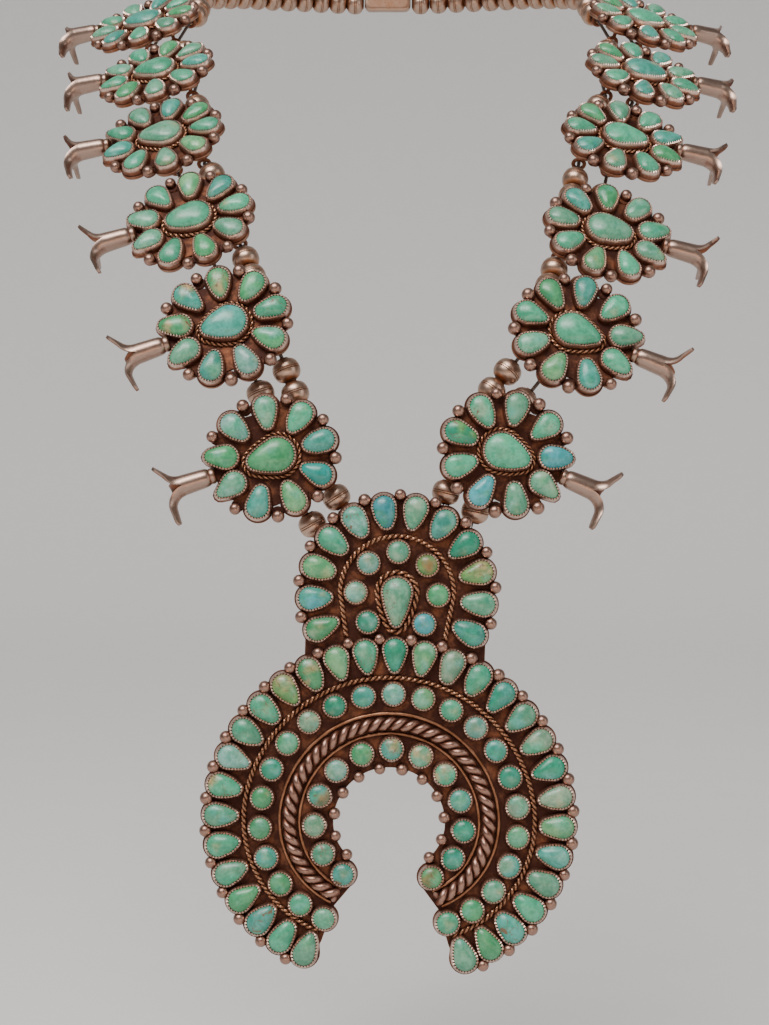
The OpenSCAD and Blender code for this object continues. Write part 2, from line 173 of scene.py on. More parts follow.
def pear_outline(size, count, tip=0.9, swell=0.0):
    """A pear as wide and long as size: a round end, flanks that swell a little, and a tip towards -u."""
    big = size[0] / 2
    span = size[1] - big - tip
    lean = (big - tip) / span
    bend = math.pi - math.acos(lean)
    flank = span * math.sqrt(1 - lean * lean)
    lengths = [bend * big, flank, 2 * (math.pi - bend) * tip, flank, bend * big]
    ends = np.cumsum([0] + lengths)
    points = []
    out = []
    for way in np.arange(count) * ends[-1] / count:
        part = min(int(np.searchsorted(ends, way, side="right")) - 1, 4)
        t = way - ends[part]
        angle = [t / big, bend, bend + t / tip, -bend, -bend + t / big][part]
        normal = np.array([math.cos(angle), math.sin(angle)])
        radius = [big, big, tip, tip, big][part]
        middle = [0, 0, -span, -span, 0][part]
        point = np.array([middle, 0]) + radius * normal
        if part in (1, 3):
            point += t * np.array([-normal[1], normal[0]])
            point += normal * swell * math.sin(math.pi * t / flank)
        points.append(point)
        out.append(normal)
    return Outline(np.array(points) + [size[1] / 2 - big, 0], out)


pendant = Place(turn("X", -3) @ turn("Y", 2) @ turn("X", 90), np.array([0, 0, -76]) - nape)
pear_size = (5.8, 8.4)
round_d = 5.3
bezel_out = 0.55
margin = 0.3
# The crescent narrows past arch_turn, where its arcs move in by a share of their radius.
arch_turn = 80
narrow = 0.181
narrow_outer = 0.172


def polar(r, degrees):
    return r * np.array([math.sin(math.radians(degrees)), math.cos(math.radians(degrees))])


def arch(r, a, share=narrow):
    """A point of the crescent's arch: one arc over the top and a smaller arc down each side."""
    if abs(a) <= arch_turn:
        return polar(r, a)
    d = math.radians(abs(a) - arch_turn)
    return polar(r * (share * math.cos(d) + math.sqrt((1 - share) ** 2 - (share * math.sin(d)) ** 2)), a)


def arch_out(a, share=narrow):
    if abs(a) <= arch_turn:
        return a
    p = arch(1, abs(a), share) - polar(share, arch_turn)
    return math.copysign(math.degrees(math.atan2(p[0], p[1])), a)


def on_arch(r, a, share=narrow):
    u, v = arch(r, a, share)
    return pendant.on(u, v, 90 - arch_out(a, share))


crown_v = 56.3


def on_crown(r, a):
    u, v = polar(r, a)
    return pendant.on(u, crown_v + v, 90 - a)


outer_r = 41.1
middle_r = 31.6
inner_r = 18.3
outer_turns = np.linspace(-148, 148, 31)
inner_turns = np.linspace(-139, 139, 13)
outer_row = [on_arch(outer_r, a, narrow_outer) for a in outer_turns]
middle_row = [on_arch(middle_r, a) for a in np.linspace(-147, 147, 23)]
inner_row = [on_arch(inner_r, a) for a in inner_turns]
crown_pear_r = 20.1
crown_pear_turn = 21.2
crown_round_r = 10.1
crown_round_turn = 45.5
crown_pears = [on_crown(crown_pear_r, (i - 5.5) * crown_pear_turn) for i in range(12)]
crown_rounds = [on_crown(crown_round_r, i * crown_round_turn) for i in range(-3, 4)]


def flat_line(plate_place, place, outline, grow):
    """The line of an outline at a place, in the plane of the plate that carries it."""
    line = outline.grown(grow)
    world = place.at(np.column_stack([line, np.zeros(len(line))]))
    return ((world - plate_place.origin) @ plate_place.axes)[:, :2]


def plate(work, place, solid, cut=(), pads=()):
    """One sheet with a rounded edge: the solid lines together, less the cut ones, with the pads left on."""
    points = []
    lines = []
    for line in [*solid, *cut, *pads]:
        lines.append(list(range(len(points), len(points) + len(line))))
        points += [Vector(p) for p in line]
    all_areas = 0
    nearest = 1e-5
    flat, _, triangles, _, _, source = delaunay_2d_cdt(points, [], lines, all_areas, nearest)
    first_cut = len(solid)
    first_pad = first_cut + len(cut)
    kept = []
    for corners, lines_in in zip(triangles, source):
        on = any(i < first_cut for i in lines_in)
        off = any(first_cut <= i < first_pad for i in lines_in)
        pad = any(i >= first_pad for i in lines_in)
        if (on and not off) or pad:
            kept.append(corners)
    edges = {(t[i], t[(i + 1) % 3]) for t in kept for i in range(3)}
    rim = [e for e in edges if (e[1], e[0]) not in edges]
    rim.sort()
    flat = np.array([tuple(p) for p in flat])
    used = sorted({i for t in kept for i in t})
    number = {i: k for k, i in enumerate(used)}
    flat = flat[used]
    kept = np.array([[number[i] for i in t] for t in kept])
    rim = np.array([[number[i] for i in e] for e in rim])
    way = flat[rim[:, 1]] - flat[rim[:, 0]]
    way = np.stack([way[:, 1], -way[:, 0]], 1) / np.linalg.norm(way, axis=1)[:, None]
    out = np.zeros_like(flat)
    np.add.at(out, rim[:, 0], way)
    np.add.at(out, rim[:, 1], way)
    out /= np.maximum(np.linalg.norm(out, axis=1), 1e-9)[:, None]
    size = len(flat)
    # From the face over the rounded edge to the back: how far out, how deep in thicknesses, and the mark.
    rows = [(0.0, 0.0, 0.12), (0.1, -0.12, 0.7), (0.14, -0.5, 0.6), (0.1, -0.88, 0.7), (0.0, -1.0, 0.9)]
    layers = [np.column_stack([flat + grow * out, np.full(size, n * plate_t)]) for grow, n, _ in rows]
    points = np.concatenate(layers)
    marks = np.concatenate([np.full(size, mark) for _, _, mark in rows])
    quads = []
    for k in range(len(rows) - 1):
        a = rim + k * size
        b = rim + (k + 1) * size
        quads.append(np.stack([a[:, 1], a[:, 0], b[:, 0], b[:, 1]], 1))
    back = kept[:, ::-1] + (len(rows) - 1) * size
    need = np.unique(np.concatenate([np.concatenate(quads).ravel(), kept.ravel(), back.ravel()]))
    number = np.full(len(points), -1)
    number[need] = np.arange(len(need))
    quads = number[np.concatenate(quads)]
    work.add(points[need], quads, number[np.concatenate([kept, back])], marks[need], place)


def bezel_middle(a):
    """The middle of the round end of an outer bezel."""
    out = polar((pear_size[1] - pear_size[0]) / 2, arch_out(a, narrow_outer))
    return arch(outer_r, a, narrow_outer) + out


ball_d = 2.7
ball_n = 0.5
ball_overlap = 0.2
ball_reach = pear_size[0] / 2 + bezel_out + ball_d / 2 - ball_overlap
rim_balls = []
for left, right in zip(outer_turns[:-1], outer_turns[1:]):
    p, q = bezel_middle(left), bezel_middle(right)
    d = q - p
    square = np.array([-d[1], d[0]]) / np.linalg.norm(d)
    rim_balls.append((p + q) / 2 + square * math.sqrt(ball_reach ** 2 - d @ d / 4))

pear = pear_outline(pear_size, 40)
disc = round_outline(round_d, 48)
work = Work()
rim_end_r = 44.4
rim_end_turn = 151
rim_share = 0.987
rim = [arch(rim_end_r, -rim_end_turn, narrow_outer), *(rim_share * np.array(rim_balls)),
       arch(rim_end_r, rim_end_turn, narrow_outer)]
opening_r = 13.8
crown_plate_d = 46.8
waist = [(-22, 38), (22, 38), (22, 52), (-22, 52)]
foot = [(10.2, -9.55), (8.9, -15.3), (12.9, -20.3), (13.2, -22.2), (14.5, -25.6), (15.6, -28.8),
        (17.5, -33), (17.5, -50)]
round_ends = [row[i] for row in (inner_row, middle_row) for i in (0, -1)]
plate(
    work, pendant,
    solid=[np.array(rim)[::-1], round_outline(crown_plate_d, 96).points + [0, crown_v], np.array(waist)]
    + [flat_line(pendant, p, pear, bezel_out + margin) for p in outer_row + crown_pears],
    cut=[np.array([arch(opening_r, a) for a in range(156, -157, -4)]),
         np.array([(0, 0), *((-u, v) for u, v in foot), *foot[::-1]])],
    pads=[flat_line(pendant, p, disc, bezel_out + margin) for p in round_ends]
    + [flat_line(pendant, p, pear, bezel_out + margin) for p in (outer_row[0], outer_row[-1])])


class Field:
    """A value, colour or vector that changes over a surface. Arithmetic adds the nodes that work it out."""

    def __init__(self, finish, socket):
        self.finish = finish
        self.socket = socket

    def maths(self, operation, a, b):
        return self.finish.node("Math", {"operation": operation}, {0: a, 1: b})

    def __add__(self, other):
        return self.maths("ADD", self, other)

    def __radd__(self, other):
        return self.maths("ADD", other, self)

    def __sub__(self, other):
        return self.maths("SUBTRACT", self, other)

    def __rsub__(self, other):
        return self.maths("SUBTRACT", other, self)

    def __mul__(self, other):
        return self.maths("MULTIPLY", self, other)

    def __rmul__(self, other):
        return self.maths("MULTIPLY", other, self)

    def step(self, low, high):
        """0 below low, 1 above high, and a smooth way between."""
        inputs = {"Value": self, "From Min": low, "From Max": high}
        return self.finish.node("MapRange", {"interpolation_type": "SMOOTHSTEP"}, inputs)


class Finish:
    """A material while it is made."""

    def __init__(self, name):
        self.material = bpy.data.materials.new(name)
        self.material.use_nodes = True
        self.tree = self.material.node_tree
        self.tree.nodes.clear()

    def node(self, kind, settings=None, inputs=None, output=0):
        made = self.tree.nodes.new("ShaderNode" + kind)
        for name, value in (settings or {}).items():
            setattr(made, name, value)
        for name, value in (inputs or {}).items():
            if isinstance(value, Field):
                self.tree.links.new(value.socket, made.inputs[name])
            else:
                made.inputs[name].default_value = value
        return Field(self, made.outputs[output]) if made.outputs else None

    def place(self):
        return self.node("TexCoord", output="Object")

    def noise(self, scale, detail=2.0, distortion=0.0, output=0):
        """Noise with scale waves in a metre."""
        inputs = {"Vector": self.place(), "Scale": scale, "Detail": detail, "Distortion": distortion}
        return self.node("TexNoise", {}, inputs, output)

    def mark(self):
        return self.node("Attribute", {"attribute_name": "mark"}, output="Fac")

    def tint(self):
        return self.node("Attribute", {"attribute_name": "tint"}, output="Color")

    def blend(self, share, a, b, way="MIX"):
        """Colours a and b mixed, with b's share."""
        return self.node("Mix", {"data_type": "RGBA", "blend_type": way}, {0: share, 6: a, 7: b}, output=2)

    def bump(self, height, distance, strength):
        return self.node("Bump", {}, {"Height": height, "Distance": distance, "Strength": strength})

    def surface(self, **inputs):
        """Ends the material in its shader."""
        shader = self.node("BsdfPrincipled", {}, {
            name.replace("_", " ").title().replace("Ior", "IOR"): value for name, value in inputs.items()})
        self.node("OutputMaterial", {}, {"Surface": shader})
        return self.material


def aged_silver(name, dark, brown, bright, polish, uneven=0.5):
    """Silver that has aged: brown to black where it is sunk, and rubbed bright where it stands proud."""
    made = Finish(name)
    cloud = made.noise(240, 3)
    spots = made.noise(1500, 4)
    scratches = made.noise(5200, 2)
    crevice = made.node("AmbientOcclusion", {"samples": 6}, {"Distance": 0.0009}, output="AO")
    rubbed = (made.mark() * 0.8 + (cloud - 0.5) * uneven + (spots - 0.5) * 0.3) * crevice.step(0.05, 0.7)
    colour = made.blend(rubbed.step(0.02, 0.36), (*dark, 1), (*brown, 1))
    colour = made.blend(rubbed.step(0.3, 0.8), colour, (*bright, 1))
    return made.surface(
        base_color=colour,
        metallic=0.65 + 0.35 * rubbed.step(0.05, 0.4),
        roughness=polish + 0.26 * (1 - rubbed.step(0.1, 0.7)) + (spots - 0.5) * 0.12,
        normal=made.bump(cloud * 0.6 + spots * 0.25 + scratches * 0.08, 0.00012, 0.5))


ground = aged_silver(
    "ground_silver", (0.045, 0.011, 0.005), (0.255, 0.100, 0.052), (0.38, 0.25, 0.19), 0.36, 0.85)
work.piece("pendant_plate", ground, ["pendant_setting"])


# Pendant bezels. Each stone sits in a strip of thin silver that is bent round it, soldered
# down at its foot, and pressed over the stone at its top edge, which is filed into fine teeth.
bezel_h = 2.0
stone_gap = 0.12


def bezel(work, place, outline, height=bezel_h):
    """One bezel: from its foot up the outside, over the teeth and down beside the stone."""
    tooth = np.arange(len(outline.points)) % 2
    rows = []
    marks = []
    for grow, n, mark in [
            (bezel_out + 0.2, -0.3, 0.2), (bezel_out + 0.2, 0.1, 0.35),
            (bezel_out + 0.06, 0.45 * height, 0.52),
            (bezel_out - 0.02 - 0.06 * tooth, height - 0.55, 1.0 - 0.1 * tooth),
            (bezel_out - 0.22 - 0.12 * tooth, height + 0.02 - 0.2 * tooth, 1.5 - 0.7 * tooth),
            (-0.26 + 0.42 * tooth, height + 0.22 - 0.55 * tooth, 1.3 - 1.5 * tooth),
            (stone_gap, height - 0.6, 0.0), (stone_gap, -0.3, 0.0)]:
        line = outline.grown(grow * np.ones(len(tooth)))
        rows.append(np.column_stack([line, n * np.ones(len(tooth))]))
        marks.append(mark * np.ones(len(tooth)))
    work.skin(rows, np.array(marks), place, closed=True)


def cut_pear(draw, size=pear_size, count=60):
    """The line of one pear-shaped stone, which is never quite like the next."""
    wide = size[0] * draw.uniform(0.96, 1.0)
    long = size[1] * draw.uniform(0.965, 1.005)
    return pear_outline((wide, long), count, draw.uniform(0.19, 0.34) * wide, draw.uniform(0.08, 0.3))


def cut_round(draw):
    line = round_outline(round_d, 48)
    return Outline(line.points * [draw.uniform(0.96, 1.02), draw.uniform(0.98, 1.04)], line.out)


draw = Random(8)
outer_seats = [(place, cut_pear(draw)) for place in outer_row]
middle_seats = [(place, cut_round(draw)) for place in middle_row]
inner_seats = [(place, cut_round(draw)) for place in inner_row]
crown_pear_seats = [(place, cut_pear(draw)) for place in crown_pears]
crown_round_seats = [(place, cut_round(draw)) for place in crown_rounds]
crown_stone_size = (7.2, 12.0)
crown_stone_low = 2.2
crown_line = pear_outline(crown_stone_size, 84, tip=1.3, swell=0.3)
crown_seat = (pendant.on(0, crown_v - crown_stone_low, 90), crown_line)
work = Work()
for place, line in outer_seats + middle_seats + inner_seats + crown_pear_seats + crown_round_seats:
    bezel(work, place, line)
crown_bezel_h = 2.3
bezel(work, *crown_seat, crown_bezel_h)
bright = aged_silver(
    "bezel_silver", (0.035, 0.008, 0.004), (0.24, 0.095, 0.055), (0.64, 0.465, 0.385), 0.33)
work.piece("pendant_bezels", bright, ["pendant_setting"])


# Wires of the pendant. Two strands of fine round wire are twisted together and laid between
# the rows of stones, and a heavy rope of two thick strands lies between two plain wires.
def evenly(path, count, closed=False):
    """The same path with count points at even distances."""
    path = np.asarray(path, float)
    if closed:
        path = np.concatenate([path, path[:1]])
    way = np.concatenate([[0], np.cumsum(np.linalg.norm(np.diff(path, axis=0), axis=1))])
    at = np.linspace(0, way[-1], count, endpoint=not closed)
    return np.stack([np.interp(at, way, path[:, i]) for i in range(path.shape[1])], 1)


def length_of(path, closed=False):
    if closed:
        path = np.concatenate([path, path[:1]])
    return np.linalg.norm(np.diff(path, axis=0), axis=1).sum()


def ways(path, closed):
    """Unit directions along a path."""
    if closed:
        way = np.roll(path, -1, 0) - np.roll(path, 1, 0)
    else:
        way = np.gradient(path, axis=0)
    return way / np.linalg.norm(way, axis=1)[:, None]


def wire(work, place, path, radius, up, sides=10, closed=False, mark=0.7, flat=1.0):
    """A round wire along a path of points. up is square to the path all along it."""
    way = ways(path, closed)
    side = np.cross(way, up)
    side /= np.linalg.norm(side, axis=1)[:, None]
    over = np.cross(side, way)
    angle = np.arange(sides) * 2 * np.pi / sides
    radius = np.broadcast_to(radius, len(path))[:, None, None]
    ring = side[:, None] * np.cos(angle)[:, None] + flat * over[:, None] * np.sin(angle)[:, None]
    marks = np.broadcast_to(mark * (0.75 + 0.25 * np.sin(angle)), (len(path), sides))
    work.skin(path[:, None] + radius * ring, marks, place, closed=closed)


def twisted(work, place, path, radius, pitch, closed=False, sides=7, steps=16):
    """Two strands wound round each other along a path that lies over the plate.

    They are pressed into each other a little, so that no gap shows between them.
    """
    turns = max(round(length_of(path, closed) / pitch), 2)
    count = turns * steps
    middle = evenly(path, count, closed)
    way = ways(middle, closed)
    side = np.cross(way, [0, 0, 1])
    strand_share = 0.54
    strand_r = radius * strand_share
    shift = radius - strand_r
    at = np.arange(count) / count if closed else np.linspace(0, 1, count)
    for start in (0, np.pi):
        angle = 2 * np.pi * turns * at + start
        out = side * np.cos(angle)[:, None] + np.array([0, 0, 1]) * np.sin(angle)[:, None]
        centre = middle + shift * out
        along = ways(centre, closed)
        across = np.cross(along, out)
        across /= np.linalg.norm(across, axis=1)[:, None]
        outward = np.cross(across, along)
        ring = np.arange(sides) * 2 * np.pi / sides
        rows = centre[:, None] + strand_r * (
            outward[:, None] * np.cos(ring)[:, None] + across[:, None] * np.sin(ring)[:, None])
        marks = np.broadcast_to(0.95 * np.clip(0.35 + 0.65 * np.cos(ring), 0, 1), (count, sides))
        work.skin(rows, marks, place, closed=closed)


def arch_path(r, end, n, step=1.5):
    return np.array([[*arch(r, a), n] for a in np.linspace(-end, end, round(2 * end / step))])


twist_r = 0.575
twist_pitch = 2.9
wire_n = 0.5
copper = aged_silver(
    "coppery_silver", (0.035, 0.008, 0.003), (0.20, 0.080, 0.036), (0.40, 0.215, 0.135), 0.36)


def around_stone(work, place, line, r=twist_r):
    """The twisted wire that lies against a bezel's foot."""
    path = line.grown(bezel_out + r)
    path = np.column_stack([path, np.full(len(path), 0.75 * r)])
    twisted(work, place, path, r, 5 * r, closed=True)


crescent_wire_r = 35.6
bow_r = 14.0
leg_u = 12.1
leg_v = crown_v - 11
work = Work()
twisted(work, pendant, arch_path(crescent_wire_r, 148, wire_n), 1.2 * twist_r, twist_pitch)
bow = [polar(bow_r, a) + [0, crown_v] for a in range(-90, 91, 3)]
horseshoe = np.array([(-leg_u, leg_v), *bow, (leg_u, leg_v)])
horseshoe = np.column_stack([horseshoe, np.full(len(horseshoe), wire_n)])
twisted(work, pendant, horseshoe, 1.25 * twist_r, twist_pitch)
around_stone(work, *crown_seat, 1.35 * twist_r)
work.piece("pendant_twisted_wires", copper, ["pendant_setting"])

rope_end = 145
rope_line_r = 24.4
rope_n = 0.95
rope_d = 3.5
rope_pitch = 5.6
work = Work()
rope_path = arch_path(rope_line_r, rope_end, rope_n)
twisted(work, pendant, rope_path, rope_d / 2, rope_pitch, sides=14, steps=26)
rope = aged_silver("rope_silver", (0.030, 0.006, 0.003), (0.17, 0.062, 0.035), (0.36, 0.215, 0.17), 0.36)
work.piece("pendant_rope", rope, ["pendant_setting"])

plain_r = 0.46
work = Work()
for r in (22.0, 26.8):
    path = arch_path(r, rope_end, 0.3)
    step = np.arange(len(path))
    wobble = 1 + 0.05 * np.sin(step * 0.9) + 0.04 * np.sin(step * 2.3)
    wire(work, pendant, path, plain_r * wobble, [0, 0, 1], sides=12, flat=0.85)
work.piece("pendant_plain_wires", copper, ["pendant_setting"])


# Balls. Drops of silver that are melted round and soldered down: between the outer stones of the
# crescent, along the inside of its arch, and between the pear stones of the crown.
def ball(work, place, point, diameter):
    """A ball that sits on its solder, which darkens it below."""
    rows = 12
    columns = 20
    tilt = np.linspace(0, np.pi, rows + 1)[1:-1]
    angle = np.arange(columns) * 2 * np.pi / columns
    sphere = np.stack([
        np.outer(np.sin(tilt), np.cos(angle)), np.outer(np.sin(tilt), np.sin(angle)),
        np.outer(np.cos(tilt), np.ones(columns))], 2)
    foot = np.clip((sphere[:, :, 2] + 0.6) / 0.7, 0, 1)
    work.skin(sphere * diameter / 2 + [*point, ball_n], 0.15 + 0.85 * foot, place)


draw = Random(4)
work = Work()
for point in rim_balls:
    ball(work, pendant, point, ball_d * draw.uniform(1.08, 1.24))
inner_ball_r = 13.6
for a in (inner_turns[:-1] + inner_turns[1:]) / 2:
    ball(work, pendant, arch(inner_ball_r, a), ball_d * draw.uniform(1.0, 1.14))
crown_ball_r = 24.2
for i in range(-5, 6):
    point = polar(crown_ball_r, i * crown_pear_turn) + [0, crown_v]
    ball(work, pendant, point, ball_d * draw.uniform(1.08, 1.22))
dusky = aged_silver("dusky_silver", (0.035, 0.009, 0.005), (0.17, 0.064, 0.036), (0.345, 0.21, 0.165), 0.36)
work.piece("pendant_balls", dusky, ["pendant_setting"])


# Loops of the pendant. Four rings of round wire on short posts stand behind the crown. Each
# thread runs through one on either side, and the pendant hangs from both threads.
loop_n = -5.0
loop_wire_r = 0.55
crown_loop_r = 1.9


def back_loop(work, place, r):
    """A ring that a thread passes, square to v, on a post that is waisted above its solder."""
    angle = np.arange(28) * 2 * np.pi / 28
    path = np.stack([r * np.cos(angle), 0 * angle, loop_n + r * np.sin(angle)], 1)
    wire(work, place, path, loop_wire_r, [0, 1, 0], closed=True)
    post = np.array([[0, 0, n] for n in np.linspace(loop_n + r, -0.6, 4)])
    wire(work, place, post, np.array([0.6, 0.55, 0.6, 0.85]), [0, 1, 0], sides=12, mark=0.5)


# u, v and the way that the thread leaves, for the inner row and the outer one.
crown_loops = [(9, 69.5, 32), (16.5, 64, 35)]
work = Work()
for side in (-1, 1):
    for u, v, way in crown_loops:
        back_loop(work, pendant.on(side * u, v, side * (way - 90)), crown_loop_r)
silver = aged_silver("aged_silver", (0.032, 0.007, 0.003), (0.20, 0.070, 0.035), (0.375, 0.26, 0.21), 0.33)
work.piece("pendant_loops", silver, ["pendant_setting"])


# Stones of the pendant. Turquoise cut as cabochons and polished: flat below, domed above,
# each a little off round. They run from mint and green to sky blue, some with brown matrix.
def shade(code):
    """A colour from its hex code, as the shader needs it."""
    parts = np.array([int(code[i:i + 2], 16) for i in (0, 2, 4)]) / 255
    return np.where(parts <= 0.04045, parts / 12.92, ((parts + 0.055) / 1.055) ** 2.4)


# Greens g, l and b, mints m and p, blue-greens a, t and d, sky blue s, grey w, yellow y, browns n and r.
tints = {
    "g": shade("4fa56f"), "l": shade("72b27c"), "m": shade("69ab8b"), "a": shade("4aa798"),
    "p": shade("7db8aa"), "t": shade("269476"), "d": shade("1f9c94"), "s": shade("46a3ad"),
    "w": shade("8aa98c"), "y": shade("74a55e"), "b": shade("50b18b"), "n": shade("7d6434"),
    "r": shade("b59c6e")}


def cabochon(work, place, line, edge, top, code, draw, tone):
    """A domed stone. Its code names its tint, then the tint of a patch, then * for matrix."""
    names = code.rstrip("*")
    count = len(line.points)
    base = line.grown(-0.05)
    middle = base.mean(0) + [draw.uniform(-0.25, 0.25), draw.uniform(-0.25, 0.25)]
    high = (top - edge) * draw.uniform(0.92, 1.08)
    rows = [np.column_stack([base, np.full(count, 0.15)])]
    for share in (1.0, 0.975, 0.91, 0.8, 0.64, 0.45, 0.24, 0.08):
        flat = base * share + middle * (1 - share)
        lift = edge + high * (1 - share ** 2.3) ** 0.62
        rows.append(np.column_stack([flat, np.full(count, lift)]))
    rows = np.array(rows)
    colour = np.broadcast_to(tints[names[0]] * tone * draw.uniform(0.8, 1.12), rows.shape)
    patches = [tints[names[1]]] * 2 if len(names) > 1 else []
    spots = patches + [tints[draw.choice("gmabptwr")] for _ in range(3)]
    for number, spot in enumerate(spots):
        is_patch = number < len(patches)
        way = draw.uniform(0, 6.3)
        far = draw.uniform(0.2, 0.9) * base[:, 0].max()
        centre = middle + [far * math.cos(way), far * math.sin(way)]
        wide = draw.uniform(0.9, 1.9) if is_patch else draw.uniform(0.5, 1.3)
        full = 0.8 if is_patch else draw.uniform(0.15, 0.5)
        span = rows[:, :, :2] - centre
        angle = np.arctan2(span[:, :, 1], span[:, :, 0])
        shape = np.hypot(span[:, :, 0], span[:, :, 1]) * (1 + 0.25 * np.sin(3 * angle + way))
        share = full * np.clip(1.5 - shape / wide, 0, 1)[:, :, None]
        colour = colour * (1 - share) + spot * share
    matrix = 1.0 if code.endswith("*") else draw.choice([0.0, 0.0, 0.15, 0.35])
    tint = np.concatenate([colour, np.ones(colour.shape[:2] + (1,))], 2).reshape(-1, 4)
    work.skin(rows, np.full(len(rows), matrix), place, tint=tint)


def turquoise_finish():
    """Polished turquoise in each stone's tint, clouded light and deep, with brown veins as matrix."""
    made = Finish("turquoise")
    cloud = made.noise(330, 4, 0.6)
    fine = made.noise(1400, 5, 0.4)
    light = made.blend(1.0, made.tint(), (1.26, 1.12, 1.12, 1), "MULTIPLY")
    deep = made.blend(1.0, made.tint(), (0.44, 0.72, 0.66, 1), "MULTIPLY")
    colour = made.blend((cloud * 0.6 + fine * 0.4).step(0.37, 0.64), deep, light)
    swirl = made.noise(500, output="Color")
    shift = {0: swirl, 1: (0.002,) * 3, 2: made.place()}
    warped = made.node("VectorMath", {"operation": "MULTIPLY_ADD"}, shift)
    veins = made.node("TexVoronoi", {"feature": "DISTANCE_TO_EDGE"}, {"Vector": warped, "Scale": 380})
    specks = (1 - veins.step(0.0, 0.05)) * made.noise(420, 2).step(0.45, 0.6)
    blotch = made.noise(520, 4, 0.8).step(0.6, 0.7)
    matrix = made.mark() * (specks * 0.8 + blotch * 0.75)
    colour = made.blend(matrix.step(0.1, 0.9), colour, (0.16, 0.085, 0.04, 1))
    return made.surface(
        base_color=colour,
        roughness=0.33 + matrix * 0.2 + (fine - 0.5) * 0.1,
        specular_ior_level=0.5,
        coat_weight=0.3,
        coat_roughness=0.2,
        normal=made.bump(cloud * 0.4 + fine * 0.2 - matrix * 0.4, 0.00008, 0.5))


turquoise = turquoise_finish()


def stones(name, seats, edge, top, codes, seed, tone=0.86):
    """The stones of one node, with a code for each. A lower tone makes them deeper."""
    work = Work()
    draw = Random(seed)
    for (place, line), code in zip(seats, codes.split(), strict=True):
        cabochon(work, place, line.every(2), edge, top, code, draw, tone)
    work.piece(name, turquoise, [name], sharp=60)


# The heights at which a stone's side turns into its dome, and at which the dome ends.
pear_rise = (1.65, 3.2)
round_rise = (1.8, 3.0)
crown_rise = (1.9, 4.2)
stones("crown_pear_stones", crown_pear_seats, *pear_rise, "gm as l b pt* st mw am t yr* m at", 1)
stones("crown_round_stones", crown_round_seats, *round_rise, "t wp p m yn* g s", 2)
stones("crown_centre_stone", [crown_seat], *crown_rise, "mw*", 3)
stones("crescent_outer_stones", outer_seats, *pear_rise,
       "m b a* g mb b ma br* p mb b* yr* gr* l bt* t lm w bt at ma wb ta w lm ap m b a* g m", 4)
stones("crescent_middle_stones", middle_seats, *round_rise,
       "m b g am g g ta gm w* t a p lm b p at t wm lm aw m g b", 5)
stones("crescent_inner_stones", inner_seats, *round_rise, "a* m* w an* pw g ar* mr br am t ta gn*", 6)


# Cluster settings. Twelve plates of sheet silver, six up each side, carry nine small stones round
# a large one in a twisted wire, with balls on the rim and four wire loops behind for the threads.
# Each row: its middle x, y and z, then how far it leans back, turns outward and droops, in degrees.
cluster_rows = {
    "left": [
        (29.0, 4.0, 13.5, 5, 0, 18), (41.0, 9.5, 46.5, 16, 3, 20), (51.5, 26.0, 75.5, 31, 11, 19),
        (61.5, 47.5, 101.5, 40, 16, 12), (66.5, 73.0, 125.5, 46, 21, 11), (73.5, 100.0, 147.3, 50, 26, 10)],
    "right": [
        (29.0, 4.5, 14.5, 3, 4, 23), (47.0, 10.0, 44.5, 17, 5, 23), (57.0, 27.5, 72.5, 31, 11, 18),
        (64.0, 48.0, 101.0, 40, 14, 17), (73.0, 72.5, 125.0, 46, 22, 14), (77.0, 99.5, 147.5, 50, 27, 12)]}
clusters = {}
for side, rows in cluster_rows.items():
    mirror = np.diag([-1.0 if side == "left" else 1.0, 1, 1])
    for k, (x, y, z, lean, outward, droop) in enumerate(rows, 1):
        axes = turn("Z", outward) @ turn("X", -lean) @ turn("Y", droop) @ turn("X", 90)
        clusters[side, k] = Place(mirror @ axes, mirror @ [x, y, z] - nape)

petal_ring = (12.4, 11.1)
ball_ring = (16.0, 14.6)
lug_ring = (15.0, 13.6)
lug_d = 3
cluster_plate_d = 23
cluster_stone_size = (8.8, 12.0)
cluster_bezel_h = 2.5
loop_u = {"inner": -10.8, "outer": -2.7}
loop_v = (-8, 8)
cluster_loop_r = 1.5


def on_ring(ring, degrees):
    return ring[0] * math.cos(math.radians(degrees)), ring[1] * math.sin(math.radians(degrees))


def petal_places(place):
    """Two stones beside the blossom point outward, the other seven to the middle."""
    turned = {20: 180, 340: 180}
    return [place.on(*on_ring(petal_ring, a), a + turned.get(a, 0)) for a in range(20, 360, 40)]


